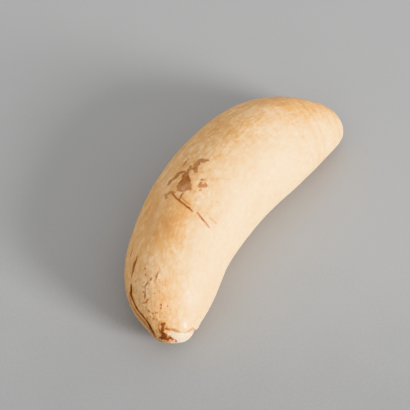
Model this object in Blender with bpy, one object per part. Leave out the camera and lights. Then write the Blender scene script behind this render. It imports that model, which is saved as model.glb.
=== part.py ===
"""A sperm whale tooth, worn at the crown and rounded at the root, lying on its side.

Metres, +Z up. X runs along the chord from the blunt root to the worn crown, and the
outer side of the bend faces -Y. It is one solid, because a tooth grows as one piece.
"""

import math

import bmesh
import bpy
import numpy as np
from mathutils import Vector

# Middle line, seen from above: its length, where it starts and which way it heads
LENGTH = 0.1595
START = (-0.07421, 0.02385)
HEADING_AT = (0.0, 0.025, 0.050, 0.075, 0.100, 0.125, 0.143, 0.152, 0.160)
HEADING_DEG = (-34.5, -27, -17, -6, 3.7, 20.5, 33.5, 35.5, 30)

# Half width of the sections, and their height as a share of their width
WIDTH_AT = (0.0, 0.010, 0.025, 0.045, 0.070, 0.095, 0.115, 0.132, 0.143, 0.150, 0.155, 0.160)
HALF_WIDTH = (0.0079, 0.0133, 0.0200, 0.0252, 0.0261, 0.0252, 0.0232, 0.0219, 0.0185, 0.0143, 0.0099, 0.0070)
FLATNESS_AT = (0.0, 0.020, 0.045, 0.130, 0.146, 0.160)
FLATNESS = (0.90, 0.88, 0.86, 0.87, 0.90, 0.95)

# How high the underside runs above the table, and how far the end sections lean
BELLY_AT = (0.0, 0.020, 0.045, 0.075, 0.105, 0.130, 0.146, 0.154, 0.160)
BELLY = (0.0037, 0.0008, -0.0004, -0.0004, -0.0004, 0.0, 0.0006, 0.0013, 0.0021)
LEAN_AT = (0.0, 0.020, 0.050, 0.110, 0.140, 0.160)
LEAN_DEG = (-5, 3, 0, 0, -12, -24)

# Rounding of both ends: length of the cap, and how squarely it turns over
ROOT_CAP = 0.010
ROOT_POWER = 3.2
CROWN_CAP = 0.0044
CROWN_POWER = 2.7

# Rim where the root's covering ends and the worn nub begins. The nub is bare up to the
# first of the two angles, and past the second the covering runs on to the tip
RIM_AT = 0.1550
BARE_TO = 95
COVERED_FROM = 112
RIM_WAVE = 0.0004
RIM_STEP = 0.0005
RIM_GROOVE = 0.00035
RIM_GROOVE_WIDTH = 0.0005

# Gentle swellings of the surface
SWELL_LONG = 0.00022
SWELL_SHORT = 0.00012

AROUND = 44
RING_SPACING = 0.0029
TABLE_SNAP = 0.00012
PROBE = 0.0002
LIFT = 0.0008
TIP_SHARE = 0.25
TIP_POWER = 0.6
PIT_RISE = 0.3

# Cracks and grooves: name, width, depth, then points as (along the middle line, degrees around),
# where 90 degrees is the top and 180 the outer side
CRACKS = (
    ("edge_fissure", 0.0012, 0.0016, (
        (0.1385, 150), (0.1403, 154), (0.1425, 157), (0.1451, 156),
        (0.1481, 152), (0.1509, 149), (0.1537, 152), (0.1567, 156))),
    ("side_fissure", 0.0008, 0.0010, (
        (0.1293, 135), (0.1305, 136), (0.1317, 139), (0.1335, 142), (0.1359, 146))),
    ("short_crack", 0.0007, 0.0007, (
        (0.1391, 120), (0.1403, 125), (0.1423, 127), (0.1433, 128), (0.1455, 130))),
    ("long_scratch", 0.0006, 0.00035, (
        (0.1023, 113), (0.1041, 106), (0.1053, 99), (0.1065, 91), (0.1077, 83))),
    ("lower_scratch", 0.0006, 0.0003, (
        (0.1073, 77), (0.1091, 69), (0.1109, 60))),
    ("nub_cleft", 0.0011, 0.0009, (
        (0.1578, 84), (0.1585, 80), (0.1591, 72))),
)

# Pits: length, width, depth, along the middle line, degrees around
PITS = (
    (0.0030, 0.0020, 0.0006, 0.1535, 113),
    (0.0034, 0.0026, 0.0008, 0.1566, 114),
    (0.0020, 0.0012, 0.0006, 0.1433, 128),
    (0.0014, 0.0009, 0.0004, 0.1471, 107),
    (0.0013, 0.0010, 0.0004, 0.1483, 131),
)

COLOUR = (0.86, 0.70, 0.47, 1.0)
ROUGHNESS = 0.38
SMOOTH_ANGLE = math.radians(40)


def curve_through(places, values):
    """A natural cubic through the points, as a function of the place."""
    places = np.asarray(places, float)
    values = np.asarray(values, float)
    count = len(places)
    gaps = np.diff(places)
    slopes = np.diff(values) / gaps
    rows = np.eye(count)
    right = np.zeros(count)
    for i in range(1, count - 1):
        rows[i, i - 1:i + 2] = gaps[i - 1], 2 * (gaps[i - 1] + gaps[i]), gaps[i]
        right[i] = 6 * (slopes[i] - slopes[i - 1])
    bends = np.linalg.solve(rows, right)

    def value(place):
        i = int(np.clip(np.searchsorted(places, place) - 1, 0, count - 2))
        left = place - places[i]
        rest = places[i + 1] - place
        gap = gaps[i]
        curved = (bends[i] * rest ** 3 + bends[i + 1] * left ** 3) / (6 * gap)
        near = (values[i] / gap - bends[i] * gap / 6) * rest
        far = (values[i + 1] / gap - bends[i + 1] * gap / 6) * left
        return float(curved + near + far)

    return value


heading = curve_through(HEADING_AT, HEADING_DEG)
half_width = curve_through(WIDTH_AT, HALF_WIDTH)
flatness = curve_through(FLATNESS_AT, FLATNESS)
belly = curve_through(BELLY_AT, BELLY)
lean = curve_through(LEAN_AT, LEAN_DEG)


def walk_middle(steps=640):
    """Distances along the middle line and the points they reach."""
    gap = LENGTH / steps
    x, y = START
    line = [(0.0, x, y)]
    for i in range(steps):
        turn = math.radians(heading((i + 0.5) * gap))
        x += gap * math.cos(turn)
        y += gap * math.sin(turn)
        line.append(((i + 1) * gap, x, y))
    return np.array(line)


MIDDLE = walk_middle()


def dome(distance, length, power):
    """Falls from 1 to 0 at an end, like a rounded cap of this length."""
    share = min(max(1 - distance / length, 0.0), 1.0)
    return (1 - share ** power) ** (1 / power)


def bare_share(angle):
    """1 where the nub is worn bare, 0 where the covering still runs on to the tip."""
    around = math.degrees(math.acos(math.cos(angle)))
    share = min(max((COVERED_FROM - around) / (COVERED_FROM - BARE_TO), 0.0), 1.0)
    return share * share * (3 - 2 * share)


def rim_place(angle):
    """The rim runs a little unevenly around the crown."""
    return RIM_AT + RIM_WAVE * math.sin(2 * angle - 0.8) + 0.5 * RIM_WAVE * math.sin(3 * angle)


def rim_depth(along, angle):
    """How far the surface steps in at the rim: a shallow groove, then the smaller nub."""
    past = (along - rim_place(angle)) / RIM_GROOVE_WIDTH
    step = 0.5 + 0.5 * math.tanh(1.6 * past)
    return (RIM_STEP * step + RIM_GROOVE * math.exp(-past * past)) * bare_share(angle)


def swelling(along, angle):
    """Low lumps on the upper side, none on the underside it rests on."""
    long_wave = math.sin(2 * math.pi * along / 0.047 + 1.3) * math.cos(2 * angle + 0.6)
    short_wave = math.sin(2 * math.pi * along / 0.019 + 3 * angle)
    upper = 0.5 + 0.5 * math.sin(angle)
    return upper * (SWELL_LONG * long_wave + SWELL_SHORT * short_wave)


def surface(along, angle):
    """The point of the tooth's surface at a distance along it and an angle around it."""
    along = min(max(along, 0.0), LENGTH)
    x = float(np.interp(along, MIDDLE[:, 0], MIDDLE[:, 1]))
    y = float(np.interp(along, MIDDLE[:, 0], MIDDLE[:, 2]))
    turn = math.radians(heading(along))
    tip = math.radians(lean(along))
    wide = half_width(along)
    high = wide * flatness(along)
    cap = dome(along, ROOT_CAP, ROOT_POWER) * dome(LENGTH - along, CROWN_CAP, CROWN_POWER)
    change = swelling(along, angle) - rim_depth(along, angle)
    forward = Vector((math.cos(turn), math.sin(turn), 0.0))
    side = Vector((-math.sin(turn), math.cos(turn), 0.0))
    up = Vector((0.0, 0.0, math.cos(tip))) - forward * math.sin(tip)
    centre = Vector((x, y, belly(along) + high))
    out = side * (math.cos(angle) * (wide + change)) + up * (math.sin(angle) * (high + change))
    return centre + out * cap


def normal(along, angle):
    """The outward direction of the surface, from points close by."""
    turn = PROBE / half_width(along)
    ahead = surface(along + PROBE, angle) - surface(along - PROBE, angle)
    round_it = surface(along, angle + turn) - surface(along, angle - turn)
    return round_it.cross(ahead).normalized() * -1


def ring_places():
    """Where the rings stand: close at both ends and the rim, even between them."""
    root = [ROOT_CAP * (1 - math.cos(math.radians(a))) for a in (8, 20, 34, 50, 70)]
    rim_start = RIM_AT - 3.2 * RIM_GROOVE_WIDTH
    count = round((rim_start - ROOT_CAP) / RING_SPACING)
    body = [ROOT_CAP + (rim_start - ROOT_CAP) * i / count for i in range(count)]
    rim = [RIM_AT + RIM_GROOVE_WIDTH * k for k in (-3.2, -1.8, -0.9, 0.0, 0.9, 1.8)]
    nub = [LENGTH - CROWN_CAP * (1 - math.cos(math.radians(a))) for a in (72, 58, 44, 30, 16)]
    return root + body + rim + nub


def rim_shift(along):
    """Rings near the rim follow its uneven line."""
    return math.exp(-((along - RIM_AT) / 0.0022) ** 2)


def new_object(name, bm):
    mesh = bpy.data.meshes.new(name)
    bm.to_mesh(mesh)
    bm.free()
    made = bpy.data.objects.new(name, mesh)
    bpy.context.scene.collection.objects.link(made)
    return made


def fill_end(bm, ring, tip):
    """Closes a ring of edges with a fan of faces around the end's tip."""
    face = bmesh.ops.contextual_create(bm, geom=ring)["faces"]
    middle = bmesh.ops.poke(bm, faces=face)["verts"][0]
    middle.co = tip


def make_body():
    """Extrudes a circle ring by ring from the root to the crown, and cuts the resting flat."""
    bm = bmesh.new()
    made = bmesh.ops.create_circle(bm, segments=AROUND, radius=half_width(0.0))
    ring = made["verts"]
    edges = list({edge for vert in ring for edge in vert.link_edges})
    angles = [2 * math.pi * i / AROUND for i in range(AROUND)]
    first_ring = list(edges)
    places = ring_places()
    for number, along in enumerate(places):
        if number:
            grown = bmesh.ops.extrude_edge_only(bm, edges=edges)["geom"]
            edges = [g for g in grown if isinstance(g, bmesh.types.BMEdge)
                     and all(v in grown for v in g.verts) and len(g.link_faces) == 1]
            follow = {}
            for vert in (g for g in grown if isinstance(g, bmesh.types.BMVert)):
                for edge in vert.link_edges:
                    other = edge.other_vert(vert)
                    if other in ring:
                        follow[other] = vert
            ring = [follow[vert] for vert in ring]
        for vert, angle in zip(ring, angles):
            moved = along + rim_shift(along) * (rim_place(angle) - RIM_AT)
            vert.co = surface(moved, angle)
    fill_end(bm, edges, surface(LENGTH, 0.0))
    fill_end(bm, first_ring, surface(0.0, 0.0))
    everything = bm.verts[:] + bm.edges[:] + bm.faces[:]
    bmesh.ops.bisect_plane(bm, geom=everything, dist=TABLE_SNAP, plane_co=(0, 0, 0),
                           plane_no=(0, 0, 1), clear_inner=True, use_snap_center=True)
    open_edges = [edge for edge in bm.edges if edge.is_boundary]
    bmesh.ops.holes_fill(bm, edges=open_edges, sides=0)
    bmesh.ops.recalc_face_normals(bm, faces=bm.faces[:])
    return new_object("tooth", bm)


def crack_points(points, per_leg=2):
    """Points along a crack, with one more between each pair."""
    turned = [(along, math.radians(degrees)) for along, degrees in points]
    found = []
    for (a0, t0), (a1, t1) in zip(turned, turned[1:]):
        for i in range(per_leg):
            share = i / per_leg
            found.append((a0 + (a1 - a0) * share, t0 + (t1 - t0) * share))
    found.append(turned[-1])
    return found


def make_crack_cutter(name, width, depth, points):
    """A wedge swept along the crack, thin and shallow at both of its ends."""
    places = crack_points(points)
    last = len(places) - 1
    spots = [surface(along, angle) for along, angle in places]
    bm = bmesh.new()
    ring = []
    edges = []
    for number, (along, angle) in enumerate(places):
        ahead = (spots[min(number + 1, last)] - spots[max(number - 1, 0)]).normalized()
        out = normal(along, angle)
        across = ahead.cross(out).normalized()
        share = TIP_SHARE + (1 - TIP_SHARE) * math.sin(math.pi * number / last) ** TIP_POWER
        deep = depth * share
        half = 0.5 * width * share * (deep + LIFT) / deep
        corners = (spots[number] + out * LIFT + across * half,
                   spots[number] + out * LIFT - across * half,
                   spots[number] - out * deep)
        if number == 0:
            ring = [bm.verts.new(corner) for corner in corners]
            edges = [bm.edges.new((ring[i], ring[(i + 1) % 3])) for i in range(3)]
            bmesh.ops.contextual_create(bm, geom=edges)
            continue
        grown = bmesh.ops.extrude_edge_only(bm, edges=edges)["geom"]
        new_verts = [g for g in grown if isinstance(g, bmesh.types.BMVert)]
        ring = [next(v for v in new_verts if any(e.other_vert(v) is old for e in v.link_edges))
                for old in ring]
        edges = [bm.edges.get((ring[i], ring[(i + 1) % 3])) for i in range(3)]
        for vert, corner in zip(ring, corners):
            vert.co = corner
    bmesh.ops.contextual_create(bm, geom=edges)
    bmesh.ops.recalc_face_normals(bm, faces=bm.faces[:])
    return new_object(name, bm)


def make_pit_cutter(name, length, width, depth, along, degrees):
    """A small oval lens sunk into the surface to the pit's depth."""
    angle = math.radians(degrees)
    out = normal(along, angle)
    ahead = (surface(along + PROBE, angle) - surface(along - PROBE, angle)).normalized()
    across = out.cross(ahead).normalized()
    centre = surface(along, angle) + out * depth * PIT_RISE
    bm = bmesh.new()
    made = bmesh.ops.create_icosphere(bm, subdivisions=2, radius=1.0)
    for vert in made["verts"]:
        long_part = ahead * (0.5 * length * vert.co.x)
        wide_part = across * (0.5 * width * vert.co.y)
        deep_part = out * ((1 + PIT_RISE) * depth * vert.co.z)
        vert.co = centre + long_part + wide_part + deep_part
    return new_object(name, bm)


def cut(body, cutter):
    cutter.hide_render = True
    cutter.display_type = "WIRE"
    boolean = body.modifiers.new(cutter.name, "BOOLEAN")
    boolean.operation = "DIFFERENCE"
    boolean.solver = "EXACT"
    boolean.object = cutter


def tooth_material():
    material = bpy.data.materials.new("polished_tooth")
    material.use_nodes = True
    shader = material.node_tree.nodes["Principled BSDF"]
    shader.inputs["Base Color"].default_value = COLOUR
    shader.inputs["Roughness"].default_value = ROUGHNESS
    shader.inputs["Metallic"].default_value = 0.0
    return material


def main():
    for old in list(bpy.data.objects):
        bpy.data.objects.remove(old, do_unlink=True)
    tooth = make_body()
    for name, width, depth, points in CRACKS:
        cut(tooth, make_crack_cutter(name + "_cutter", width, depth, points))
    for number, pit in enumerate(PITS):
        cut(tooth, make_pit_cutter(f"pit_cutter_{number}", *pit))
    tooth.data.materials.append(tooth_material())
    tooth.data.shade_smooth()
    tooth.data.set_sharp_from_angle(angle=SMOOTH_ANGLE)


main()
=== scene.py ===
"""A polished sperm whale tooth lying on its side on a plain pale floor.

The tooth is drawn out ring by ring along its bend, rounded, pressed in at its cracks,
pits and rim, and finished with a stained ivory material. Metres, +Z up.
"""
import math

import bmesh
import bpy
import numpy as np
from bpy.props import FloatProperty, FloatVectorProperty, IntProperty, PointerProperty
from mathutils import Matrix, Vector


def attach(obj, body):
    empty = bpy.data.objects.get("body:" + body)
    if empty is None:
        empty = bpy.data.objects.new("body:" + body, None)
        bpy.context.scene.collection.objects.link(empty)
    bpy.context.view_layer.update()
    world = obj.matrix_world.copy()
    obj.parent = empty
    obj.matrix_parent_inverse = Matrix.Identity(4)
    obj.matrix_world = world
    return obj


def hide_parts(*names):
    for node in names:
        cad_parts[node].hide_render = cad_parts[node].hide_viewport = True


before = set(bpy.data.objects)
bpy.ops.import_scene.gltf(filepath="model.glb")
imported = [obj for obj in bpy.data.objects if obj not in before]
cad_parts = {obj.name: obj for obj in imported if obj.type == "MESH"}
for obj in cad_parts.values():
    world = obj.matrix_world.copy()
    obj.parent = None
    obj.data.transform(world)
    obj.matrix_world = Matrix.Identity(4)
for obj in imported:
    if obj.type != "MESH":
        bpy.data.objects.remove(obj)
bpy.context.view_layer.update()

bl_info = {
    "name": "Sperm whale tooth",
    "version": (1, 0, 0),
    "blender": (4, 5, 0),
    "location": "View3D > Sidebar > Tooth",
    "description": "Models and finishes a polished sperm whale tooth lying on its side",
    "category": "Object",
}

NODE = "tooth"
PIECE = "tooth_polished"
MM = 0.001

# Middle line, seen from above: its length, where it starts and which way it heads
LENGTH = 0.1595
START = (-0.07421, 0.02385)
HEADING_AT = (0.0, 0.025, 0.050, 0.075, 0.100, 0.125, 0.143, 0.152, 0.160)
HEADING_DEG = (-34.5, -27, -17, -6, 4.5, 19.5, 33.5, 35.5, 30)

# Half width of the sections, and their height as a share of their width
WIDTH_AT = (0.0, 0.010, 0.025, 0.045, 0.070, 0.095, 0.115, 0.132, 0.143, 0.150, 0.155, 0.160)
HALF_WIDTH = (0.0079, 0.0133, 0.0200, 0.0252, 0.0261, 0.0252, 0.02335, 0.02165, 0.0185, 0.0143,
              0.0099, 0.0070)
FLATNESS_AT = (0.0, 0.020, 0.045, 0.130, 0.146, 0.160)
FLATNESS = (0.90, 0.88, 0.86, 0.87, 0.90, 0.95)

# How high the underside runs above the table, and how far the end sections lean
BELLY_AT = (0.0, 0.020, 0.045, 0.075, 0.105, 0.130, 0.146, 0.154, 0.160)
BELLY = (0.0037, 0.0008, -0.0004, -0.0004, -0.0004, 0.0, 0.0006, 0.0013, 0.0021)
LEAN_AT = (0.0, 0.020, 0.050, 0.110, 0.140, 0.160)
LEAN_DEG = (-5, 3, 0, 0, -12, -24)

# Rounding of both ends: length of the cap, and how squarely it turns over
ROOT_CAP = 0.010
ROOT_POWER = 3.2
CROWN_CAP = 0.0044
CROWN_POWER = 2.7

# Rim where the root's covering ends and the worn nub begins, with a low lip before it. The
# nub is bare up to the first of the two angles, and past the second the covering runs on to
# the tip
RIM_AT = 0.1550
BARE_TO = 95
COVERED_FROM = 112
RIM_WAVE = 0.0004
RIM_GROOVE_WIDTH = 0.0005
LIP_BEFORE = 0.0012
LIP_WIDTH = 0.0008

# Smooth swellings at the rim that catch the light: mm along, degrees around, radius and
# height in mm. They are polished brightest within this share of the radius
SWELLINGS = ((155.3, 64.5, 4.3, 1.45), (157.6, 63, 1.4, 0.20))
SHINE_REACH = 0.55

# Rings that the tooth is drawn from: points in a ring, the space between rings, and where
# those on the two rounded ends stand, as degrees of turn over the end
AROUND = 20
RING_SPACING = 0.0055
ROOT_RING_TURNS = (8, 20, 34, 50, 70)
NUB_RING_TURNS = (72, 58, 44, 30, 16)

# The crown's rough patch: where it begins, is full, fades and ends, along the tooth and in
# degrees around it
ROUGH_ALONG = (0.128, 0.140, 0.155, 0.159)
ROUGH_AROUND = (88, 106, 170, 195)

# How tan the ivory is at these degrees around the section, from cream at 0 to amber at 1. This is
# partly the tooth's real amber staining and partly painted shade: amber on the top and outer side
# that face away from the key light, cream on the lit inner side
TAN_AND_SHADE_AT = (0, 45, 60, 75, 95, 110, 130, 150, 195, 235, 275, 315, 335, 350, 360)
TAN_AND_SHADE = (0.02, 0.05, 0.13, 0.36, 0.72, 0.92, 1.02, 1.06, 1.08, 0.88, 0.72, 0.55, 0.25, 0.04, 0.02)

# Clouds in the ivory that are warmer, or paler below zero: mm along, degrees around,
# radius in mm, strength
CLOUDS = (
    (112, 106, 12, 0.34), (108, 86, 7, 0.18), (120, 104, 10, 0.3), (62, 108, 12, 0.15),
    (20, 90, 8, 0.25), (34, 52, 4, 0.14), (33, 72, 4, 0.16), (104, 60, 7, 0.1),
    (139, 124, 9, -0.2), (146, 98, 6, 0.1), (96, 96, 6, 0.12),
    (150, 112, 6, 0.05), (148, 84, 5, 0.04), (44, 150, 10, 0.1), (78, 215, 14, 0.2),
    (48, 250, 9, -0.15), (120, 235, 12, 0.18),
)

# Marks, each with its strength and a chain of (mm along the middle line, degrees around,
# half width in mm), where 90 degrees is the top and 180 the outer side. The cracks have
# their depth in mm first, the tints and stains are colour alone
CRACKS = {
    "edge fissure": (1.5, 1.0, ((138.5, 150, 0.34), (139.3, 152, 0.62), (140.3, 154, 0.78),
        (141.1, 158, 1.05), (142.5, 157, 0.76), (143.7, 156, 0.56), (145.1, 156, 0.5),
        (146.7, 155, 0.62), (148.1, 152, 0.43), (149.5, 150, 0.43), (150.9, 149, 0.5),
        (152.3, 148, 0.56), (153.7, 152, 0.77), (154.7, 153, 0.77), (155.9, 156, 0.34),
        (156.7, 156, 0.22))),
    "side fissure": (0.5, 0.72, ((129.3, 135, 0.22), (130.5, 136, 0.45), (131.7, 139, 0.85),
        (132.9, 141, 0.75), (133.9, 142, 0.72), (134.7, 144, 0.45), (135.9, 146, 0.25))),
    "short crack": (0.14, 0.62, ((139.1, 120, 0.2), (139.7, 122, 0.41), (140.3, 125, 0.26),
        (141.3, 126, 0.16), (142.3, 127, 0.25), (143.3, 128, 0.52), (144.1, 130, 0.25))),
    "short crack hook": (0.1, 0.7, ((144.7, 125, 0.2), (145.5, 130, 0.31), (145.5, 136, 0.2))),
    "nub cleft": (0.8, 0.8, ((158.3, 81, 0.13), (159.3, 70, 0.38))),
    "long": (0.18, 0.9, ((102.3, 113, 0.27), (103.3, 109, 0.27), (104.1, 106, 0.27),
        (104.7, 102, 0.36), (105.3, 99, 0.27), (105.9, 94, 0.27), (106.5, 91, 0.31),
        (106.7, 88, 0.4), (107.1, 86, 0.22), (107.7, 83, 0.18))),
    "cross": (0.1, 0.85, ((101.1, 101, 0.13), (101.7, 102, 0.22), (102.7, 102, 0.27),
        (103.7, 102, 0.22), (104.5, 102, 0.22))),
}
TINTS = {
    "thin scratch": (0.95, ((103.3, 100, 0.16), (104.1, 96, 0.22), (104.7, 92, 0.28),
        (105.1, 88, 0.16))),
    "middle scratch": (1.0, ((107.3, 77, 0.38), (108.3, 73, 0.43), (109.1, 69, 0.47),
        (109.9, 64, 0.5), (110.7, 60, 0.42), (110.9, 58, 0.22))),
    "short scratch": (0.9, ((106.5, 63, 0.16), (106.9, 58, 0.25), (107.1, 53, 0.16))),
    "red streak": (0.96, ((135.9, 104, 0.2), (137.1, 106, 0.36), (138.7, 108, 0.2))),
    "thin streak": (0.6, ((135.1, 114, 0.13), (136.5, 114, 0.17))),
    "side line": (0.95, ((125.7, 146, 0.26), (126.9, 148, 0.4), (128.1, 150, 0.29))),
    "edge strip": (0.84, ((142.1, 168, 0.34), (144.7, 168, 0.64), (147.1, 165, 0.68),
        (149.1, 162, 0.77), (151.1, 160, 0.77), (152.9, 160, 0.68), (154.7, 162, 0.55),
        (156.9, 164, 0.51))),
    "fissure's near side": (0.75, ((140.1, 146, 0.22), (141.9, 152, 0.26), (143.9, 150, 0.26))),
    "crown orange": (0.86, ((158.9, 139, 0.55), (158.9, 116, 0.88), (158.9, 97, 0.82))),
    "outline's orange": (0.86, ((157.7, 166, 0.48), (158.5, 166, 0.48), (158.9, 196, 0.35))),
    "rim": (0.86, ((154.5, 102, 0.35), (154.7, 94, 0.56), (154.9, 87, 0.98), (155.3, 80, 1.01),
        (155.5, 71, 0.59), (155.5, 60, 0.36), (155.3, 52, 0.77), (154.9, 46, 1.05),
        (154.5, 39, 0.98), (154.5, 28, 0.48), (154.5, 16, 0.28))),
    "outer line": (0.55, ((70.0, 222, 0.1), (82.0, 226, 0.2), (95.0, 224, 0.18),
        (104.0, 219, 0.08))),
    "outer line 2": (0.45, ((118.0, 200, 0.08), (128.0, 203, 0.2), (139.0, 208, 0.1))),
    "outer line 3": (0.4, ((30.0, 205, 0.08), (41.0, 209, 0.17), (50.0, 207, 0.08))),
    "inner line": (0.4, ((124.0, -12, 0.08), (133.0, -15, 0.18), (141.0, -14, 0.08))),
    "left dot": (0.7, ((116.5, 102, 0.22), (117.5, 102, 0.26))),
    "root spot": (0.5, ((16.3, 97, 0.34), (15.9, 93, 0.49))),
    "root streak": (0.5, ((13.7, 83, 0.2), (13.3, 76, 0.39), (13.7, 70, 0.2))),
    "olive dot": (0.5, ((139.1, 110, 0.34), (139.3, 110, 0.3))),
    "pale blob": (0.35, ((143.3, 138, 0.34), (144.1, 140, 0.26))),
    "faint mark": (0.3, ((69.3, 120, 0.23), (70.1, 114, 0.23))),
    "faint line": (0.25, ((62.5, 86, 0.14), (62.9, 78, 0.16), (62.9, 68, 0.14))),
    "crease": (0.22, ((90.3, 86, 0.14), (86.9, 76, 0.16), (83.1, 66, 0.14))),
    "far dot": (0.35, ((76.1, 92, 0.41), (76.5, 91, 0.37))),
    "mid dot": (0.4, ((97.7, 65, 0.36), (97.7, 64, 0.36))),
    "below hook": (0.4, ((90.7, 101, 0.18), (90.3, 98, 0.18))),
    "second stub": (0.35, ((84.7, 114, 0.18), (86.7, 115, 0.23))),
    "small blot": (0.98, ((93.3, 90, 0.54), (95.1, 89, 0.77), (94.5, 87, 0.81), (93.7, 84, 0.81),
        (93.1, 84, 0.5))),
    "hook's inner side": (0.86, ((83.3, 102, 0.55), (82.5, 100, 0.55))),
    "crown spots": (0.7, ((153.1, 122, 0.25), (154.1, 124, 0.25))),
    "speckles": (0.45, ((151.9, 35, 0.3), (150.9, 34, 0.38))),
    "speckles 2": (0.45, ((150.3, 28, 0.21), (150.9, 18, 0.21))),
    "speckles 3": (0.4, ((152.7, 40, 0.21), (153.1, 32, 0.21))),
    "above nub": (0.4, ((152.7, 92, 0.21), (152.9, 83, 0.25))),
    "spot": (0.4, ((145.3, 89, 0.34), (145.7, 90, 0.3))),
    "spot 2": (0.4, ((149.1, 84, 0.43), (150.1, 82, 0.34))),
}
STAINS = {
    "strip shade": (0.42, ((141.1, 166, 0.3), (144.7, 167, 0.45), (149.1, 161, 0.55),
        (152.9, 159, 0.5), (156.9, 163, 0.35))),
    "blot hook": (0.72, ((81.3, 98, 0.21), (81.5, 100, 0.54), (82.1, 102, 0.8),
        (82.5, 104, 0.97), (83.5, 106, 1.07), (84.7, 106, 1.07), (86.3, 106, 1.18),
        (87.9, 104, 1.01), (89.1, 102, 0.74))),
    "blot neck": (0.76, ((87.7, 106, 0.59), (88.3, 109, 0.68), (89.3, 110, 0.73),
        (90.5, 110, 0.81), (91.7, 110, 1.13))),
    "blot bump": (0.7, ((87.1, 112, 0.32), (87.9, 110, 0.45))),
    "blot top": (0.86, ((92.3, 110, 1.36), (93.7, 108, 1.71), (95.1, 106, 2.25),
        (96.5, 106, 2.7))),
    "blot low": (0.6, ((98.3, 107, 1.98), (97.9, 104, 1.98), (97.1, 101, 1.89))),
    "blot foot": (0.68, ((100.1, 108, 0.63), (100.1, 104, 0.63), (99.3, 101, 0.58),
        (97.9, 97, 0.76))),
    "blot left": (0.7, ((90.9, 114, 0.59), (91.5, 117, 0.64), (92.1, 120, 0.74),
        (93.3, 120, 0.8), (94.7, 120, 0.7), (95.7, 122, 0.64), (96.5, 124, 0.79),
        (97.7, 124, 0.64), (98.5, 124, 0.32))),
    "blot stub": (0.66, ((83.7, 120, 0.18), (84.9, 120, 0.27), (86.5, 120, 0.32),
        (87.9, 120, 0.23))),
    "blot dot": (0.68, ((101.7, 110, 0.22), (101.9, 113, 0.36), (101.7, 116, 0.49),
        (102.7, 117, 0.45), (103.5, 120, 0.49), (104.7, 118, 0.36))),
    "small blot dot": (0.75, ((91.9, 91, 0.36), (91.5, 90, 0.16), (90.9, 88, 0.16))),
    "small blot dot 2": (0.75, ((92.9, 86, 0.18), (92.7, 86, 0.27))),
    "dot below": (0.5, ((96.9, 86, 0.4), (97.1, 86, 0.36))),
    "dot left of it": (0.4, ((98.7, 91, 0.27), (98.3, 90, 0.31))),
    "crown top": (0.92, ((152.1, 114, 0.26), (152.9, 112, 0.7), (153.5, 113, 0.66),
        (154.3, 116, 0.62), (155.1, 120, 0.66))),
    "crown middle": (1.0, ((155.1, 120, 0.7), (156.3, 117, 0.72), (157.1, 117, 1.15))),
    "crown low": (0.97, ((157.7, 137, 0.46), (157.7, 122, 1.02), (158.1, 112, 0.96),
        (157.7, 100, 0.6), (158.3, 92, 0.28))),
    "crown branch": (0.75, ((154.1, 109, 0.34), (155.1, 102, 0.21))),
    "crown left": (0.8, ((154.5, 124, 0.25), (155.7, 126, 0.34))),
    "outer spot": (0.45, ((112.0, 232, 0.5), (114.0, 236, 0.9), (116.5, 234, 0.4))),
    "outer crown stain": (0.42, ((151.5, 206, 0.2), (152.6, 212, 0.5), (153.6, 222, 0.9),
        (154.4, 230, 0.5))),
    "crown outline": (0.7, ((158.1, 154, 0.25), (158.7, 158, 0.25))),
}

# Small round pits: mm along, degrees around, radius in mm. Then how dark their dirt is, and
# their depth as a share of the radius
PITS = (
    (147.1, 107, 0.38), (148.1, 108, 0.26), (148.3, 131, 0.43), (150.3, 143, 0.43),
    (149.3, 126, 0.21), (149.3, 120, 0.26), (149.3, 116, 0.17), (138.3, 115, 0.34),
    (150.9, 129, 0.21), (151.3, 122, 0.17), (141.9, 130, 0.26), (146.9, 133, 0.17),
    (150.1, 132, 0.21), (147.7, 97, 0.17), (134.3, 122, 0.22), (136.3, 122, 0.22),
    (137.9, 139, 0.26),
)
PIT_STRENGTH = 0.5
PIT_DEPTH = 0.7

# Camera, from the photograph
VIEW_AZIMUTH = math.radians(121.2)
VIEW_ELEVATION = math.radians(55)
VIEW_ANGLE = math.radians(18)
VIEW_DISTANCE = 0.605
VIEW_AIM = (0.00878, -0.00425, 0.020)

# Key light: degrees from the picture's right towards the viewer, degrees above the floor,
# distance and size in metres, watts. The sky fills the rest
KEY_LIGHT = (33, 20, 2.6, 0.80, 73.0)
SKY_STRENGTH = 0.80

# Plain floor, a hair below the tooth, and how far towards the viewer painted shade darkens it
FLOOR_SIZE = 12.0
FLOOR_DROP = 0.1 * MM
FLOOR_PAINTED_SHADE_REACH = 0.125

# How far a mark's distance is followed, over what distance near marks share their
# strengths, and how far outside its edge a crack or pit starts to sink
REACH = 6 * MM
BLEND = 0.35 * MM
MARK_SLOPE = 0.25 * MM

# How close to a mark or the rim the mesh is refined, and where above the floor the low
# swells begin and are full
FINE_WITHIN = 1.0 * MM
FINEST_WITHIN = 0.45 * MM
FINE_AT_RIM = 2.4 * MM
SWELL_ABOVE = (0.5 * MM, 4 * MM)


def curve_through(places, values):
    """A natural cubic through the points, as a function of the place."""
    places = np.asarray(places, float)
    values = np.asarray(values, float)
    count = len(places)
    gaps = np.diff(places)
    slopes = np.diff(values) / gaps
    rows = np.eye(count)
    right = np.zeros(count)
    for i in range(1, count - 1):
        rows[i, i - 1:i + 2] = gaps[i - 1], 2 * (gaps[i - 1] + gaps[i]), gaps[i]
        right[i] = 6 * (slopes[i] - slopes[i - 1])
    bends = np.linalg.solve(rows, right)

    def value(place):
        place = np.asarray(place, float)
        i = np.clip(np.searchsorted(places, place) - 1, 0, count - 2)
        left = place - places[i]
        rest = places[i + 1] - place
        gap = gaps[i]
        curved = (bends[i] * rest ** 3 + bends[i + 1] * left ** 3) / (6 * gap)
        near = (values[i] / gap - bends[i] * gap / 6) * rest
        far = (values[i + 1] / gap - bends[i + 1] * gap / 6) * left
        return curved + near + far

    return value


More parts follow.
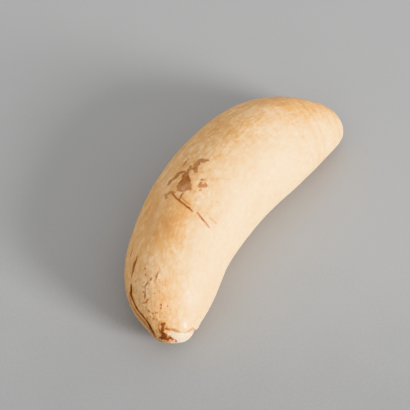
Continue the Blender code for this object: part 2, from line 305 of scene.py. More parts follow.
heading = curve_through(HEADING_AT, HEADING_DEG)
half_width = curve_through(WIDTH_AT, HALF_WIDTH)
flatness = curve_through(FLATNESS_AT, FLATNESS)
belly = curve_through(BELLY_AT, BELLY)
lean = curve_through(LEAN_AT, LEAN_DEG)


def walk_middle(steps=640):
    """Distances along the middle line and the points they reach."""
    gap = LENGTH / steps
    turns = np.radians(heading((np.arange(steps) + 0.5) * gap))
    x = START[0] + gap * np.concatenate([[0], np.cumsum(np.cos(turns))])
    y = START[1] + gap * np.concatenate([[0], np.cumsum(np.sin(turns))])
    return np.linspace(0, LENGTH, steps + 1), x, y


MIDDLE = walk_middle()


def dome(distance, length, power):
    """Falls from 1 to 0 at an end, like a rounded cap of this length."""
    share = np.clip(1 - distance / length, 0, 1)
    return (1 - share ** power) ** (1 / power)


def soft(gap, inner, outer):
    """1 below inner, 0 above outer, eased between them."""
    share = np.clip((outer - gap) / (outer - inner), 0, 1)
    return share * share * (3 - 2 * share)


def section(along):
    """Centre, side and up directions, half width and half height of the sections there."""
    along = np.clip(along, 0, LENGTH)
    turn = np.radians(heading(along))
    tip = np.radians(lean(along))
    cap = dome(along, ROOT_CAP, ROOT_POWER) * dome(LENGTH - along, CROWN_CAP, CROWN_POWER)
    wide = half_width(along)
    high = wide * flatness(along)
    flat = 0 * turn
    forward = np.stack([np.cos(turn), np.sin(turn), flat], -1)
    side = np.stack([-np.sin(turn), np.cos(turn), flat], -1)
    up = np.stack([flat, flat, np.cos(tip)], -1) - forward * np.sin(tip)[..., None]
    x = np.interp(along, MIDDLE[0], MIDDLE[1])
    y = np.interp(along, MIDDLE[0], MIDDLE[2])
    centre = np.stack([x, y, belly(along) + high], -1)
    return centre, side, up, wide * cap, high * cap


def surface(along, angle):
    """Points of the tooth's surface at distances along it and angles around it."""
    centre, side, up, wide, high = section(along)
    across = (wide * np.cos(angle))[..., None] * side
    return centre + across + (high * np.sin(angle))[..., None] * up


def unbend(points):
    """Distance along the tooth and angle around it of points near its surface."""
    best = np.full(len(points), np.inf)
    along = np.zeros(len(points))
    for place, x, y in list(zip(*MIDDLE))[::8]:
        reach = (points[:, 0] - x) ** 2 + (points[:, 1] - y) ** 2
        nearer = reach < best
        best[nearer] = reach[nearer]
        along[nearer] = place
    for _ in range(5):
        centre, side, up, wide, high = section(along)
        ahead = np.cross(side, up)
        along = np.clip(along + 0.8 * np.einsum("ij,ij->i", points - centre, ahead), 0, LENGTH)
    centre, side, up, wide, high = section(along)
    off = points - centre
    across = np.einsum("ij,ij->i", off, side) / np.maximum(wide, 0.5 * MM)
    upward = np.einsum("ij,ij->i", off, up) / np.maximum(high, 0.5 * MM)
    return along, np.arctan2(upward, across)


def rim_place(angle):
    """The rim runs a little unevenly around the crown."""
    return RIM_AT + RIM_WAVE * np.sin(2 * angle - 0.8) + 0.5 * RIM_WAVE * np.sin(3 * angle)


def bare_share(angle):
    """1 where the nub is worn bare, 0 where the covering still runs on to the tip."""
    around = np.degrees(np.arccos(np.cos(angle)))
    return soft(around, BARE_TO, COVERED_FROM)


def plateau(value, rise, start, end, fall):
    """0 outside rise and fall, 1 between start and end, eased at both sides."""
    return (1 - soft(value, rise, start)) * soft(value, end, fall)


def chain_on_surface(chain, spacing=0.3 * MM):
    """A mark's chain as close points on the tooth, with the half width at each."""
    chain = np.array(chain, float)
    along = chain[:, 0] * MM
    angle = np.radians(chain[:, 1])
    corners = surface(along, angle)
    points = [corners[0]]
    radii = [chain[0, 2] * MM]
    for i in range(len(chain) - 1):
        count = max(2, int(np.linalg.norm(corners[i + 1] - corners[i]) / spacing))
        share = np.linspace(0, 1, count + 1)[1:]
        run = surface(along[i] + (along[i + 1] - along[i]) * share,
                      angle[i] + (angle[i + 1] - angle[i]) * share)
        points.extend(run)
        radii.extend((chain[i, 2] + (chain[i + 1, 2] - chain[i, 2]) * share) * MM)
    return np.array(points), np.array(radii)


def gap_to(vertices, chain):
    """Distance of each vertex from the mark's edge, below zero inside it."""
    points, radii = chain_on_surface(chain)
    found = np.full(len(vertices), REACH)
    low = points.min(0) - REACH
    high = points.max(0) + REACH
    near = np.nonzero(((vertices > low) & (vertices < high)).all(1))[0]
    for point, radius in zip(points, radii):
        gap = np.linalg.norm(vertices[near] - point, axis=1) - radius
        found[near] = np.minimum(found[near], gap)
    return found


def nearest_mark(vertices, marks):
    """Distance from the edge of the nearest of these marks, and the strength of those near."""
    found = np.full(len(vertices), REACH)
    pulls = np.zeros(len(vertices))
    strengths = np.zeros(len(vertices))
    for strength, chain in marks:
        gap = gap_to(vertices, chain)
        found = np.minimum(found, gap)
        pull = np.exp(-gap / BLEND)
        pulls += pull
        strengths += strength * pull
    return found, strengths / pulls


def crack_marks():
    return [(strength, chain) for _, strength, chain in CRACKS.values()]


def pit_marks():
    """Each pit as a very short chain."""
    return [(PIT_STRENGTH, ((along, around, radius), (along + 0.1, around, radius)))
            for along, around, radius in PITS]


def alone(piece=None):
    """Leaves edit mode and selects only this piece."""
    if bpy.context.object and bpy.context.object.mode != "OBJECT":
        bpy.ops.object.mode_set(mode="OBJECT")
    bpy.ops.object.select_all(action="DESELECT")
    if piece:
        piece.select_set(True)
        bpy.context.view_layer.objects.active = piece


def pick_vertices(piece, numbers):
    """Selects these vertices, and the edges and faces between them, in edit mode."""
    bpy.ops.mesh.select_all(action="DESELECT")
    bm = bmesh.from_edit_mesh(piece.data)
    bm.verts.ensure_lookup_table()
    for number in numbers:
        bm.verts[number].select = True
    bm.select_mode = {"VERT"}
    bm.select_flush_mode()
    bmesh.update_edit_mesh(piece.data)


def split_faces(piece, wanted):
    """Cuts each wanted face in four."""
    alone(piece)
    bpy.ops.object.mode_set(mode="EDIT")
    bpy.ops.mesh.select_mode(type="FACE")
    bpy.ops.mesh.select_all(action="DESELECT")
    bm = bmesh.from_edit_mesh(piece.data)
    bm.faces.ensure_lookup_table()
    for number in np.nonzero(wanted)[0]:
        bm.faces[number].select_set(True)
    bmesh.update_edit_mesh(piece.data)
    bpy.ops.mesh.subdivide(number_cuts=1)
    bpy.ops.object.mode_set(mode="OBJECT")


def vertex_places(piece):
    places = np.zeros(len(piece.data.vertices) * 3)
    piece.data.vertices.foreach_get("co", places)
    return places.reshape(-1, 3)


def face_centres(piece):
    centres = np.zeros(len(piece.data.polygons) * 3)
    piece.data.polygons.foreach_get("center", centres)
    return centres.reshape(-1, 3)


def apply(piece, name, kind, **values):
    """Adds a modifier to the piece, sets it and applies it."""
    alone(piece)
    modifier = piece.modifiers.new(name, kind)
    for key, value in values.items():
        setattr(modifier, key, value)
    bpy.ops.object.modifier_apply(modifier=modifier.name)


def weigh(piece, name, weights):
    """Keeps a share for each vertex in a vertex group, for a modifier to follow."""
    group = piece.vertex_groups.new(name=name)
    for number in np.nonzero(weights > 0.001)[0]:
        group.add([int(number)], float(weights[number]), "REPLACE")
    return name


def press_flat(piece):
    """Brings what lies below the floor up to it, as the flat the tooth rests on."""
    alone(piece)
    below = np.nonzero(vertex_places(piece)[:, 2] < 0)[0]
    bpy.ops.object.mode_set(mode="EDIT")
    bpy.ops.mesh.select_mode(type="VERT")
    pick_vertices(piece, below.tolist())
    bpy.ops.transform.resize(value=(1, 1, 0), center_override=(0, 0, 0))
    bpy.ops.object.mode_set(mode="OBJECT")


def ring_places():
    """Where the rings stand: close at both ends, even between them."""
    root = [ROOT_CAP * (1 - math.cos(math.radians(a))) for a in ROOT_RING_TURNS]
    nub = [LENGTH - CROWN_CAP * (1 - math.cos(math.radians(a))) for a in NUB_RING_TURNS]
    run = LENGTH - CROWN_CAP - ROOT_CAP
    count = round(run / RING_SPACING)
    return root + [ROOT_CAP + run * i / count for i in range(count + 1)] + nub


def before_rounding(values):
    """Ring values whose rounded surface passes through these, with the end rings kept."""
    count = len(values)
    rows = np.eye(count)
    for i in range(1, count - 1):
        rows[i, i - 1:i + 2] = 1 / 6, 2 / 3, 1 / 6
    return np.linalg.solve(rows, values)


class ToothSizes(bpy.types.PropertyGroup):
    rounding: IntProperty(
        name="Rounding", description="Subdivision steps of the ring cage", default=3, min=1, max=3)
    allowance: FloatProperty(
        name="Allowance", description="Ring growth that makes up for the rounding",
        default=3 / (2 + math.cos(2 * math.pi / AROUND)))
    rim_step: FloatProperty(
        name="Rim step", description="How far the worn nub stands in from the rim",
        default=0.5 * MM, unit="LENGTH")
    rim_groove: FloatProperty(
        name="Rim groove", description="Depth of the groove along the rim",
        default=0.35 * MM, unit="LENGTH")
    rim_lip: FloatProperty(
        name="Rim lip", description="Height of the rounded lip before the rim",
        default=0.20 * MM, unit="LENGTH")
    swelling: FloatProperty(
        name="Swelling", description="Height of the low lumps of the polished surface",
        default=0.3 * MM, unit="LENGTH")
    swelling_size: FloatProperty(
        name="Swelling size", description="Width of the low lumps", default=13 * MM, unit="LENGTH")
    roughness: FloatProperty(
        name="Crown roughness", description="Height of the small lumps of the worn crown",
        default=0.55 * MM, unit="LENGTH")
    roughness_size: FloatProperty(
        name="Crown roughness size", description="Width of the small lumps of the worn crown",
        default=2.2 * MM, unit="LENGTH")


class ToothColours(bpy.types.PropertyGroup):
    cream: FloatVectorProperty(
        name="Cream", description="The polished ivory", subtype="COLOR",
        default=(0.90, 0.735, 0.54), min=0, max=1)
    honey: FloatVectorProperty(
        name="Honey", description="The faint warmer clouds in it", subtype="COLOR",
        default=(0.80, 0.575, 0.35), min=0, max=1)
    # Amber is real staining, and through the tan share it also serves as painted shade on the side
    # away from the key light
    amber: FloatVectorProperty(
        name="Amber", description="The tanned outer side", subtype="COLOR",
        default=(0.765, 0.452, 0.192), min=0, max=1)
    stain: FloatVectorProperty(
        name="Stain", description="The brown blots", subtype="COLOR",
        default=(0.35, 0.115, 0.034), min=0, max=1)
    crack: FloatVectorProperty(
        name="Crack", description="Dirt inside the cracks", subtype="COLOR",
        default=(0.19, 0.046, 0.015), min=0, max=1)
    tint: FloatVectorProperty(
        name="Tint", description="The orange lines and edges", subtype="COLOR",
        default=(0.61, 0.25, 0.075), min=0, max=1)
    nub: FloatVectorProperty(
        name="Nub", description="The pale worn crown", subtype="COLOR",
        default=(0.90, 0.79, 0.66), min=0, max=1)
    floor: FloatVectorProperty(
        name="Floor", description="The plain floor", subtype="COLOR",
        default=(0.42, 0.42, 0.42), min=0, max=1)


class TOOTH_OT_body(bpy.types.Operator):
    """Draws a circle out ring by ring along the tooth's bend, closes its ends and rounds it"""
    bl_idname = "tooth.body"
    bl_label = "Tooth body"

    def execute(self, context):
        sizes = context.scene.tooth_sizes
        places = np.array(ring_places())
        centre, side, up, wide, high = section(places)
        centre = before_rounding(centre)
        across = before_rounding(side * wide[:, None])
        upward = before_rounding(up * high[:, None])
        wide = np.linalg.norm(across, axis=1) * sizes.allowance
        high = np.linalg.norm(upward, axis=1) * sizes.allowance
        turns = np.arctan2(-across[:, 0], across[:, 1])
        forward = upward[:, 0] * np.cos(turns) + upward[:, 1] * np.sin(turns)
        tips = np.arctan2(-forward, upward[:, 2])

        alone()
        bpy.ops.mesh.primitive_circle_add(
            vertices=AROUND, radius=1.0, location=centre[0],
            rotation=(math.pi / 2, 0, math.pi / 2 + turns[0]))
        tooth = context.object
        tooth.name = PIECE
        tooth.data.name = PIECE
        bpy.ops.object.transform_apply(location=True, rotation=True, scale=True)
        bpy.ops.object.mode_set(mode="EDIT")
        bpy.ops.mesh.select_all(action="SELECT")
        bpy.ops.transform.resize(
            value=(wide[0], wide[0], high[0]), center_override=centre[0])
        for i in range(1, len(places)):
            bpy.ops.mesh.extrude_edges_move(
                TRANSFORM_OT_translate={"value": tuple(centre[i] - centre[i - 1])})
            grow = wide[i] / wide[i - 1]
            bpy.ops.transform.resize(
                value=(grow, grow, high[i] / high[i - 1]), center_override=centre[i])
            bpy.ops.transform.rotate(
                value=-(turns[i] - turns[i - 1]), orient_axis="Z", center_override=centre[i])
        # A ring leans by turning it to face along X, tipping it, and turning it back
        for i in np.nonzero(np.abs(tips) > math.radians(0.2))[0]:
            pick_vertices(tooth, range(i * AROUND, (i + 1) * AROUND))
            for axis, value in (("Z", turns[i]), ("Y", tips[i]), ("Z", -turns[i])):
                bpy.ops.transform.rotate(
                    value=value, orient_axis=axis, center_override=centre[i])
        last = len(places) - 1
        for ring, tip in ((0, 0.0), (last, LENGTH)):
            pick_vertices(tooth, range(ring * AROUND, (ring + 1) * AROUND))
            bpy.ops.mesh.edge_face_add()
            bpy.ops.mesh.poke()
            newest = len(bmesh.from_edit_mesh(tooth.data).verts) - 1
            pick_vertices(tooth, [newest])
            target = section(np.array(tip))[0]
            bpy.ops.transform.translate(value=tuple(target - centre[ring]))
        bpy.ops.mesh.select_all(action="SELECT")
        bpy.ops.mesh.normals_make_consistent(inside=False)
        bpy.ops.object.mode_set(mode="OBJECT")

        apply(tooth, "rounding", "SUBSURF", levels=sizes.rounding, render_levels=sizes.rounding)
        press_flat(tooth)
        bpy.ops.object.shade_smooth()
        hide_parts(NODE)
        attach(tooth, "root")
        return {"FINISHED"}


def refine(tooth):
    """Cuts the faces at the rim and the marks in four, and those closest to a mark once more."""
    every_mark = crack_marks() + pit_marks() + list(TINTS.values()) + list(STAINS.values())
    centres = face_centres(tooth)
    along, angle = unbend(centres)
    at_rim = (np.abs(along - rim_place(angle)) < FINE_AT_RIM) & (bare_share(angle) > 0.02)
    split_faces(tooth, (nearest_mark(centres, every_mark)[0] < FINE_WITHIN) | at_rim)
    centres = face_centres(tooth)
    split_faces(tooth, nearest_mark(centres, every_mark)[0] < FINEST_WITHIN)


def pressed_depth(places, along, angle, sizes):
    """How far each vertex is pressed in, at the cracks, the pits and the rim."""
    pressed = np.zeros(len(places))
    for depth, _, chain in CRACKS.values():
        widest = max(radius for _, _, radius in chain) * MM
        share = soft(gap_to(places, chain), -widest, MARK_SLOPE)
        pressed = np.maximum(pressed, depth * MM * share)
    for _, chain in pit_marks():
        radius = chain[0][2] * MM
        share = soft(gap_to(places, chain), -radius, MARK_SLOPE)
        pressed = np.maximum(pressed, PIT_DEPTH * radius * share)
    past = (along - rim_place(angle)) / RIM_GROOVE_WIDTH
    stepped = sizes.rim_step * (0.5 + 0.5 * np.tanh(1.6 * past))
    grooved = sizes.rim_groove * np.exp(-past ** 2)
    to_tip = dome(LENGTH - along, CROWN_CAP, CROWN_POWER)
    return pressed + (stepped + grooved) * bare_share(angle) * to_tip


def reach_from(places, mm_along, degrees_around):
    """Distance of each vertex from a place on the tooth."""
    middle = surface(np.array([mm_along * MM]), np.array([math.radians(degrees_around)]))[0]
    return np.linalg.norm(places - middle, axis=1)


def raised_and_shine(places, along, angle, sizes):
    """How far each vertex is raised at the rim's lip and swellings, and how brightly polished."""
    past = (along - rim_place(angle) + LIP_BEFORE) / LIP_WIDTH
    raised = sizes.rim_lip * np.exp(-past ** 2) * bare_share(angle)
    shine = np.zeros(len(places))
    for mm_along, degrees_around, radius, height in SWELLINGS:
        reach = reach_from(places, mm_along, degrees_around) / (radius * MM)
        raised += height * MM * np.exp(-reach ** 2)
        shine = np.maximum(shine, np.exp(-(reach / SHINE_REACH) ** 2))
    return raised, shine


def tan_and_shade_share(places, angle):
    """How tan the ivory is at each vertex: around the section, partly as painted shade on the side
    away from the key light, then its clouds.
    """
    clouds = np.zeros(len(places))
    for mm_along, degrees_around, radius, strength in CLOUDS:
        reach = reach_from(places, mm_along, degrees_around)
        clouds += strength * soft(reach, 0.2 * radius * MM, 1.4 * radius * MM)
    return np.interp(np.degrees(angle) % 360, TAN_AND_SHADE_AT, TAN_AND_SHADE) + clouds


def rough_share(along, angle):
    """1 inside the crown's rough patch, 0 outside it."""
    return plateau(along, *ROUGH_ALONG) * plateau(np.degrees(angle) % 360, *ROUGH_AROUND)


def store(piece, name, values, kind="FLOAT"):
    """Keeps a value at each vertex for the material to read."""
    held = piece.data.attributes.new(name, kind, "POINT")
    key = "value" if kind == "FLOAT" else "vector"
    held.data.foreach_set(key, np.asarray(values, np.float32).ravel())


def store_for_finish(tooth, places, along, angle):
    """Keeps where each vertex lies on the straightened tooth and how far from each mark."""
    _, _, _, wide, high = section(along)
    straight = np.stack([along, wide * np.cos(angle), high * np.sin(angle)], 1) / MM
    store(tooth, "straight", straight, "FLOAT_VECTOR")
    for name, marks in (("crack", crack_marks()), ("pit", pit_marks()),
                        ("stain", STAINS.values()), ("tint", TINTS.values())):
        gap, strength = nearest_mark(places, marks)
        store(tooth, name + "_gap", gap / MM)
        store(tooth, name + "_strength", strength)
    store(tooth, "past_rim", (along - rim_place(angle)) / MM)
    store(tooth, "bare", bare_share(angle))
    store(tooth, "rough", rough_share(along, angle))
    # The kept tan holds real amber staining and painted shade on the side away from the key light
    store(tooth, "tan", tan_and_shade_share(places, angle))


def push(tooth, name, distances, inwards=False):
    """Moves each vertex this far along its normal."""
    furthest = float(distances.max())
    apply(tooth, name, "DISPLACE", vertex_group=weigh(tooth, name, distances / furthest),
          mid_level=0.0, strength=-furthest if inwards else furthest, direction="NORMAL")


def lump(tooth, name, height, width, detail, weights):
    """Raises and sinks the surface in lumps of this height and width, where the weights say."""
    lumps = bpy.data.textures.new(name, "CLOUDS")
    lumps.noise_scale = width
    lumps.noise_depth = detail
    apply(tooth, name, "DISPLACE", vertex_group=weigh(tooth, name, weights), texture=lumps,
          texture_coords="LOCAL", mid_level=0.5, strength=height, direction="NORMAL")


class TOOTH_OT_marks(bpy.types.Operator):
    """Refines the mesh at the marks, presses in cracks, pits and rim, and keeps where each lies"""
    bl_idname = "tooth.marks"
    bl_label = "Cracks, pits and rim"

    def execute(self, context):
        sizes = context.scene.tooth_sizes
        tooth = bpy.data.objects[PIECE]
        refine(tooth)
        places = vertex_places(tooth)
        along, angle = unbend(places)
        pressed = pressed_depth(places, along, angle, sizes)
        raised, shine = raised_and_shine(places, along, angle, sizes)
        store_for_finish(tooth, places, along, angle)
        store(tooth, "shine", shine)
        push(tooth, "pressing", pressed, inwards=True)
        push(tooth, "raising", raised)
        lump(tooth, "roughening", sizes.roughness, sizes.roughness_size, 2,
             rough_share(along, angle))
        above_floor = 1 - soft(vertex_places(tooth)[:, 2], *SWELL_ABOVE)
        lump(tooth, "swelling", sizes.swelling, sizes.swelling_size, 1, above_floor)
        press_flat(tooth)
        return {"FINISHED"}


class Shader:
    """Builds a material's nodes, one call for each."""

    def __init__(self, name):
        self.material = bpy.data.materials.new(name)
        self.material.use_nodes = True
        self.tree = self.material.node_tree
        self.surface = self.tree.nodes["Principled BSDF"]

    def feed(self, made, inputs):
        """Links each input to a socket, or sets it to a value."""
        for key, source in inputs.items():
            if hasattr(source, "is_output"):
                self.tree.links.new(source, made.inputs[key])
            else:
                made.inputs[key].default_value = source

    def node(self, kind, inputs, **settings):
        made = self.tree.nodes.new(kind)
        for key, value in settings.items():
            setattr(made, key, value)
        self.feed(made, inputs)
        return made

    def stored(self, name, output="Fac"):
        return self.node("ShaderNodeAttribute", {}, attribute_name=name).outputs[output]

    def sums(self, operation, a, b):
        return self.node("ShaderNodeMath", {0: a, 1: b}, operation=operation).outputs[0]

    def times(self, a, b):
        return self.sums("MULTIPLY", a, b)

    def plus(self, a, b):
        return self.sums("ADD", a, b)

    def larger(self, a, b):
        return self.sums("MAXIMUM", a, b)

    def stretched(self, vector, scale, shift):
        inputs = {"Vector": vector, "Scale": scale, "Location": shift}
        return self.node("ShaderNodeMapping", inputs).outputs[0]

    def noise(self, vector, scale, detail, roughness, distortion=0.0):
        inputs = {"Vector": vector, "Scale": scale, "Detail": detail, "Roughness": roughness,
                  "Distortion": distortion}
        return self.node("ShaderNodeTexNoise", inputs).outputs["Fac"]

    def spread(self, value, low, high, to_low=0.0, to_high=1.0):
        inputs = {"Value": value, "From Min": low, "From Max": high, "To Min": to_low,
                  "To Max": to_high}
        made = self.node("ShaderNodeMapRange", inputs, interpolation_type="SMOOTHSTEP")
        return made.outputs["Result"]

    def mix(self, share, a, b, blend="MIX"):
        inputs = {"Factor": share, 6: a, 7: b}
        made = self.node("ShaderNodeMix", inputs, data_type="RGBA", blend_type=blend)
        return made.outputs[2]


def with_alpha(colour):
    return (*colour, 1.0)


class Ivory(Shader):
    """The polished, stained ivory, built up colour by colour."""

    def __init__(self, colours):
        super().__init__("polished_ivory")
        for name in ("cream", "honey", "amber", "stain", "crack", "tint", "nub"):
            setattr(self, name, with_alpha(getattr(colours, name)))
        straight = self.stored("straight", "Vector")
        self.along = self.node("ShaderNodeSeparateXYZ", {0: straight}).outputs["X"]
        self.rough_crown = self.stored("rough")

        def drawn_out(scale, shift, detail, roughness, distortion=0.0):
            """Noise at this scale per mm along, across and up the straightened tooth."""
            place = self.stretched(straight, scale, shift)
            return self.noise(place, 1.0, detail, roughness, distortion)

        self.broad = drawn_out((0.045, 0.08, 0.08), (3, 5, 2), 3, 0.5, 0.5)
        self.patches = drawn_out((0.11, 0.17, 0.17), (5, 3, 1), 4, 0.55, 0.5)
        self.mottling = drawn_out((0.30, 0.42, 0.42), (8, 2, 6), 3, 0.55, 0.3)
        self.flecks = drawn_out((0.55, 0.95, 0.95), (4, 9, 3), 2, 0.55)
        self.streaks = drawn_out((0.05, 0.60, 0.60), (0, 0, 0), 4, 0.6, 0.25)
        self.grain = drawn_out((0.20, 2.4, 2.4), (2, 7, 4), 3, 0.6)
        self.bands = drawn_out((0.30, 0.03, 0.03), (1, 8, 2), 3, 0.6, 0.4)
        self.speckles = self.noise(straight, 1.15, 3, 0.6)
        self.pores = self.noise(straight, 1.9, 2, 0.5)
        self.blotching = self.noise(straight, 0.55, 3, 0.6)
        self.ragged = self.noise(straight, 0.9, 4, 0.65)
        self.fine_ragged = self.noise(straight, 2.4, 3, 0.6)

    def tan_and_shade_share(self):
        """Around the section, with its painted shade on the side away from the key light, and in
        its clouds as kept, then mottled and banded at the root.
        """
        tan = self.stored("tan")
        swing = 0.0
        for noise, reach in ((self.patches, 0.90), (self.mottling, 1.5), (self.flecks, 1.0),
                             (self.streaks, 0.60)):
            swing = self.plus(self.times(self.plus(noise, -0.5), reach), swing)
        tan = self.plus(tan, self.times(swing, self.spread(tan, 0.0, 0.6, 0.35, 1.0)))
        near_root = self.spread(self.along, 26.0, 42.0, 1.0, 0.0)
        bands = self.spread(self.bands, 0.42, 0.62, 0.04, 0.34)
        return self.plus(tan, self.times(near_root, bands))

    def body_colour(self, tan):
        """Cream to amber, the amber partly painted shade on the side away from the key light, with
        honey clouds, fine lines along the tooth and pores.
        """
        # Amber and, past 0.9, the orange tint follow the tan share, so they also paint shade on
        # the side away from the key light
        colour = self.mix(tan, self.cream, self.amber)
        colour = self.mix(self.spread(tan, 0.90, 1.60, 0, 0.50), colour, self.tint)
        colour = self.mix(self.spread(self.broad, 0.48, 0.66, 0, 0.30), colour, self.honey)
        lines = self.spread(self.streaks, 0.50, 0.68, 0, 0.14)
        lines = self.times(lines, self.spread(tan, 0.2, 0.8, 0.3, 1.0))
        colour = self.mix(lines, colour, self.honey, "MULTIPLY")
        colour = self.mix(self.spread(self.grain, 0.56, 0.74, 0, 0.08), colour, self.amber,
                          "MULTIPLY")
        pores = self.spread(self.pores, 0.63, 0.74, 0, 0.30)
        pores = self.times(pores, self.spread(tan, 0.2, 0.8, 0.25, 1.0))
        return self.mix(pores, colour, self.tint)

    def add_crown(self, colour):
        """Brown speckles in the rough patch, and the pale nub beyond the rim."""
        speckles = self.times(self.spread(self.speckles, 0.54, 0.66, 0, 0.75), self.rough_crown)
        colour = self.mix(speckles, colour, self.tint)
        beyond = self.times(self.spread(self.stored("past_rim"), -0.1, 0.9),
                            self.spread(self.stored("bare"), 0.1, 1.0))
        colour = self.mix(self.times(beyond, 0.68), colour, self.nub)
        pores = self.times(beyond, self.spread(self.pores, 0.56, 0.70, 0, 0.28))
        return self.mix(pores, colour, self.tint)

    def add_tints(self, colour):
        """Orange and tan lines, the strongest of them brown."""
        frayed = self.spread(self.fine_ragged, 0.25, 0.75, -0.14, 0.14)
        edge = self.plus(self.stored("tint_gap"), frayed)
        strength = self.stored("tint_strength")
        share = self.times(self.spread(edge, 0.36, -0.14), strength)
        share = self.times(share, self.spread(self.mottling, 0.30, 0.65, 1.0, 0.70))
        brown = self.mix(self.spread(strength, 0.86, 1.0, 0, 0.65), self.tint, self.stain)
        return self.mix(share, colour, brown)

    def add_stains(self, colour):
        """Brown blots, most tattered at the crown. Gives the colour and the share of blot."""
        at_crown = self.spread(self.along, 147.0, 152.0, 0.18, 1.0)
        tattered = self.times(self.spread(self.ragged, 0.30, 0.70, -0.30, 0.30),
                              self.plus(0.9, at_crown))
        edge = self.plus(self.stored("stain_gap"), tattered)
        edge = self.plus(edge, self.spread(self.fine_ragged, 0.25, 0.75, -0.26, 0.02))
        strength = self.stored("stain_strength")
        halo = self.times(self.spread(edge, 1.1, 0.0, 0, 0.75), at_crown)
        colour = self.mix(halo, colour, self.tint)
        blot = self.times(self.spread(edge, 0.24, -0.22), strength)
        blot = self.times(blot, self.spread(self.blotching, 0.34, 0.60, 0.80, 1.08))
        darkest = self.spread(strength, 0.84, 0.97, 0, 0.8)
        return self.mix(blot, colour, self.mix(darkest, self.stain, self.crack)), blot

    def add_cracks(self, colour):
        """Dirt in the cracks, with a warm edge. Gives the colour and the share of dirt."""
        frayed = self.spread(self.fine_ragged, 0.25, 0.75, -0.12, 0.12)
        edge = self.plus(self.stored("crack_gap"), frayed)
        strength = self.stored("crack_strength")
        halo = self.times(self.spread(edge, 0.95, 0.0, 0, 0.70), self.spread(strength, 0.5, 0.95))
        colour = self.mix(halo, colour, self.tint)
        dirt = self.times(self.spread(edge, 0.28, -0.14), strength)
        colour = self.mix(dirt, colour, self.stain)
        core = self.times(self.spread(edge, 0.0, -0.30),
                          self.spread(strength, 0.86, 1.0, 0.25, 1.0))
        return self.mix(core, colour, self.crack), dirt

    def add_pits(self, colour):
        """Dirt in the pits, with a warm edge. Gives the colour and the share of dirt."""
        gap = self.stored("pit_gap")
        colour = self.mix(self.spread(gap, 0.60, 0.0, 0, 0.55), colour, self.tint)
        dirt = self.times(self.spread(gap, 0.32, -0.12), self.stored("pit_strength"))
        return self.mix(dirt, colour, self.stain), dirt

    def polish(self, tan, dull):
        """Satin, glossier at the crown and its swellings, duller where tan and in the marks."""
        rough = self.spread(self.patches, 0.3, 0.7, 0.38, 0.46)
        for value, low, high, change in (
                (self.along, 147.0, 152.0, -0.20), (tan, 0.7, 1.0, 0.10),
                (self.grain, 0.4, 0.7, 0.04), (self.pores, 0.5, 0.7, 0.05)):
            rough = self.plus(rough, self.spread(value, low, high, 0.0, change))
        rough = self.plus(rough, self.times(self.stored("shine"), -0.16))
        rough = self.plus(rough, self.times(dull, 0.25))
        self.feed(self.surface, {"Roughness": rough, "IOR": 1.5, "Specular IOR Level": 0.5})

    def glow_through(self):
        """Light goes a little way into the ivory, red the furthest."""
        self.surface.subsurface_method = "RANDOM_WALK"
        self.feed(self.surface, {
            "Subsurface Weight": 0.20, "Subsurface Radius": (1.0, 0.55, 0.28),
            "Subsurface Scale": 3 * MM})

    def fine_relief(self, dull):
        """Fine lines along the tooth, a worn crown, and dirt that lies a little lower."""
        height = self.times(self.streaks, 0.06)
        height = self.plus(height, self.times(self.grain, 0.03))
        height = self.plus(height, self.times(self.times(self.ragged, self.rough_crown), 0.55))
        height = self.plus(height, self.times(dull, -0.10))
        inputs = {"Strength": 0.5, "Distance": 0.5 * MM, "Height": height}
        self.feed(self.surface, {"Normal": self.node("ShaderNodeBump", inputs).outputs[0]})


class TOOTH_OT_finish(bpy.types.Operator):
    """Gives the tooth its polished, stained ivory material"""
    bl_idname = "tooth.finish"
    bl_label = "Ivory finish"

    def execute(self, context):
        tooth = bpy.data.objects[PIECE]
        ivory = Ivory(context.scene.tooth_colours)
        # The tan share holds painted shade on the side away from the key light as well as real
        # amber
        tan = ivory.tan_and_shade_share()
        colour = ivory.add_tints(ivory.add_crown(ivory.body_colour(tan)))
        colour, blot = ivory.add_stains(colour)
        colour, crack_dirt = ivory.add_cracks(colour)
        colour, pit_dirt = ivory.add_pits(colour)
        ivory.feed(ivory.surface, {"Base Color": colour})
        dull = ivory.larger(ivory.larger(crack_dirt, blot), pit_dirt)
        ivory.polish(tan, dull)
        ivory.glow_through()
        ivory.fine_relief(dull)
        tooth.data.materials.clear()
        tooth.data.materials.append(ivory.material)
        return {"FINISHED"}


def view_directions():
    """Right, towards the camera along the floor, and back from the object to the camera."""
    a, e = VIEW_AZIMUTH, VIEW_ELEVATION
    right = Vector((math.cos(a), math.sin(a), 0))
    near = Vector((math.sin(a), -math.cos(a), 0))
    back = near * math.cos(e) + Vector((0, 0, math.sin(e)))
    return right, near, back


def soft_light(name, turn_deg, height_deg, distance, size, watts):
    """A square soft light, turned from the picture's right towards the viewer."""
    right, near, _ = view_directions()
    turn, height = math.radians(turn_deg), math.radians(height_deg)
    way = right * math.cos(turn) + near * math.sin(turn)
    way = way * math.cos(height) + Vector((0, 0, math.sin(height)))
    bpy.ops.object.light_add(type="AREA", location=way * distance)
    light = bpy.context.object
    light.name = name
    light.rotation_euler = way.to_track_quat("Z", "Y").to_euler()
    light.data.size = size
    light.data.energy = watts


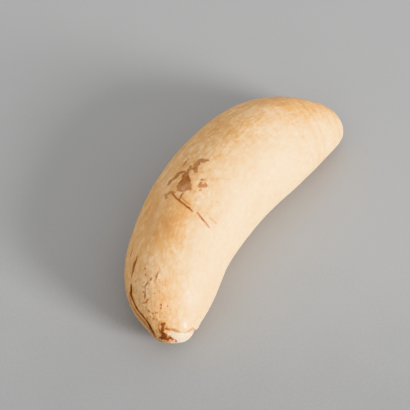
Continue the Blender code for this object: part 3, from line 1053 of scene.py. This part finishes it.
class TOOTH_OT_stage(bpy.types.Operator):
    """Adds the floor, the soft light and the camera"""
    bl_idname = "tooth.stage"
    bl_label = "Stage"

    def execute(self, context):
        scene = context.scene
        alone()
        bpy.ops.mesh.primitive_plane_add(size=FLOOR_SIZE, location=(0, 0, -FLOOR_DROP))
        floor = context.object
        floor.name = "floor"
        m = Shader("floor")
        place = m.node("ShaderNodeTexCoord", {}).outputs["Object"]
        nearness = m.node("ShaderNodeVectorMath", {0: place, 1: view_directions()[1]},
                          operation="DOT_PRODUCT")
        # Painted shade: the floor is darkened towards the viewer, with faint random mottling on
        # top
        shade = m.spread(nearness.outputs["Value"], 0.0, FLOOR_PAINTED_SHADE_REACH, 0.0, 0.13)
        shade = m.plus(shade, m.spread(m.noise(place, 900.0, 2, 0.6), 0.3, 0.7, -0.02, 0.02))
        shade = m.plus(shade, m.spread(m.noise(place, 28.0, 2, 0.5), 0.3, 0.7, -0.01, 0.01))
        pale = with_alpha(scene.tooth_colours.floor)
        m.feed(m.surface, {
            "Base Color": m.mix(shade, pale, (0, 0, 0, 1)), "Roughness": 0.9,
            "Specular IOR Level": 0.1})
        floor.data.materials.append(m.material)

        soft_light("key", *KEY_LIGHT)
        world = scene.world or bpy.data.worlds.new("world")
        scene.world = world
        world.use_nodes = True
        sky = world.node_tree.nodes["Background"]
        sky.inputs["Color"].default_value = (1, 1, 1, 1)
        sky.inputs["Strength"].default_value = SKY_STRENGTH

        _, _, back = view_directions()
        bpy.ops.object.camera_add(location=Vector(VIEW_AIM) + back * VIEW_DISTANCE)
        camera = context.object
        camera.rotation_euler = back.to_track_quat("Z", "Y").to_euler()
        camera.data.sensor_width = 36.0
        camera.data.lens = 18.0 / math.tan(VIEW_ANGLE / 2)
        camera.data.clip_start = 0.01
        scene.camera = camera
        scene.view_settings.view_transform = "Khronos PBR Neutral"
        scene.view_settings.look = "None"
        return {"FINISHED"}


class TOOTH_PT_panel(bpy.types.Panel):
    """Lists the tooth's steps in the sidebar"""
    bl_idname = "TOOTH_PT_panel"
    bl_label = "Sperm whale tooth"
    bl_space_type = "VIEW_3D"
    bl_region_type = "UI"
    bl_category = "Tooth"

    def draw(self, context):
        layout = self.layout
        for group in (context.scene.tooth_sizes, context.scene.tooth_colours):
            for key in group.__annotations__:
                layout.prop(group, key)
        for step in STEPS:
            layout.operator(step.bl_idname)


STEPS = (TOOTH_OT_body, TOOTH_OT_marks, TOOTH_OT_finish, TOOTH_OT_stage)
CLASSES = (ToothSizes, ToothColours, *STEPS, TOOTH_PT_panel)


def register():
    for each in CLASSES:
        bpy.utils.register_class(each)
    bpy.types.Scene.tooth_sizes = PointerProperty(type=ToothSizes)
    bpy.types.Scene.tooth_colours = PointerProperty(type=ToothColours)


def unregister():
    del bpy.types.Scene.tooth_colours
    del bpy.types.Scene.tooth_sizes
    for each in reversed(CLASSES):
        bpy.utils.unregister_class(each)


def main():
    register()
    bpy.ops.tooth.body()
    bpy.ops.tooth.marks()
    bpy.ops.tooth.finish()
    bpy.ops.tooth.stage()


if __name__ == "__main__":
    main()
